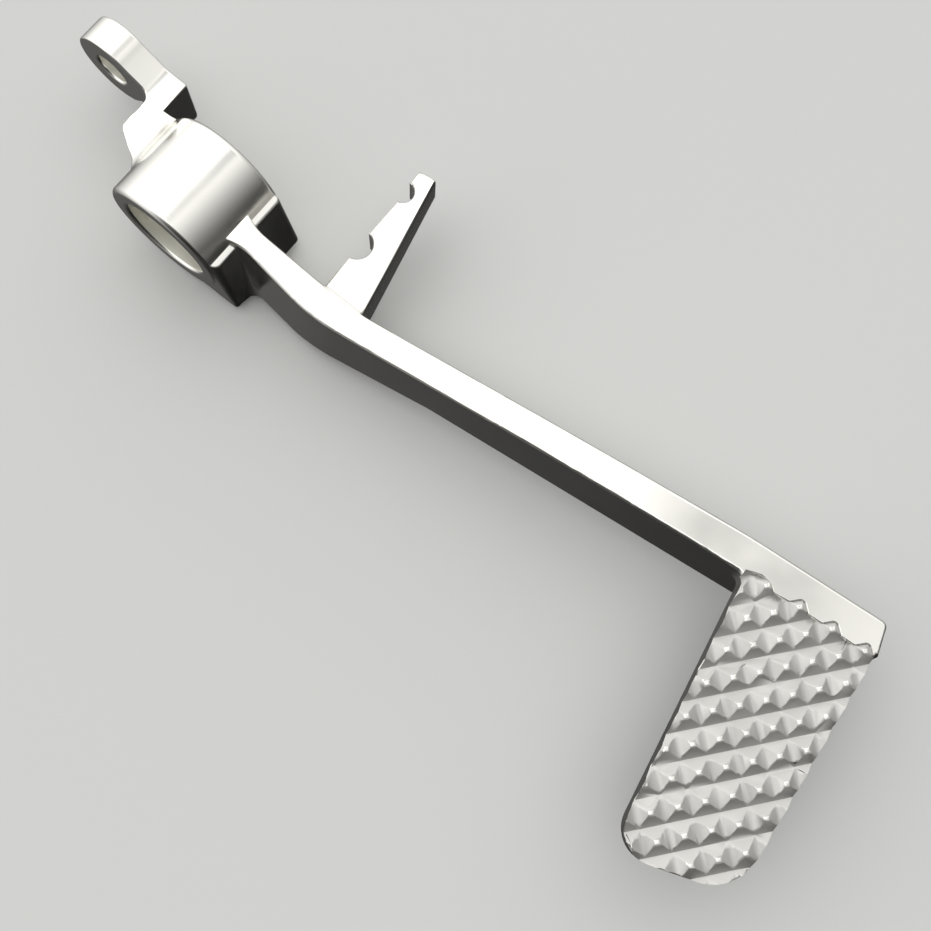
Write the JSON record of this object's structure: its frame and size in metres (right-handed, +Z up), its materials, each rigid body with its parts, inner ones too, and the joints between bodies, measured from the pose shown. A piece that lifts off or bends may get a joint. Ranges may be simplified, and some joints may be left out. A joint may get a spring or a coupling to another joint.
{
  "type": "rear brake pedal",
  "caption": "Forged aluminium motorbike rear brake pedal: pivot hub with a push-rod lever, slightly cranked arm, notched spring finger and a swept toe pad cut into pyramid studs.",
  "frame": {"origin": "on the pivot bore's axis at the middle of the hub's length", "axes": "+X forward to the toe pad, +Y along the pivot axis to the inboard side, +Z up, square to the toe pad"},
  "size_m": [0.2004, 0.0791, 0.0268],
  "materials": {
    "polished_aluminium": "bright polished forging, slightly satin in the stud grooves and the bores"
  },
  "bodies": {
    "root": {"brake_pedal": "polished_aluminium"}
  },
  "joints": []
}
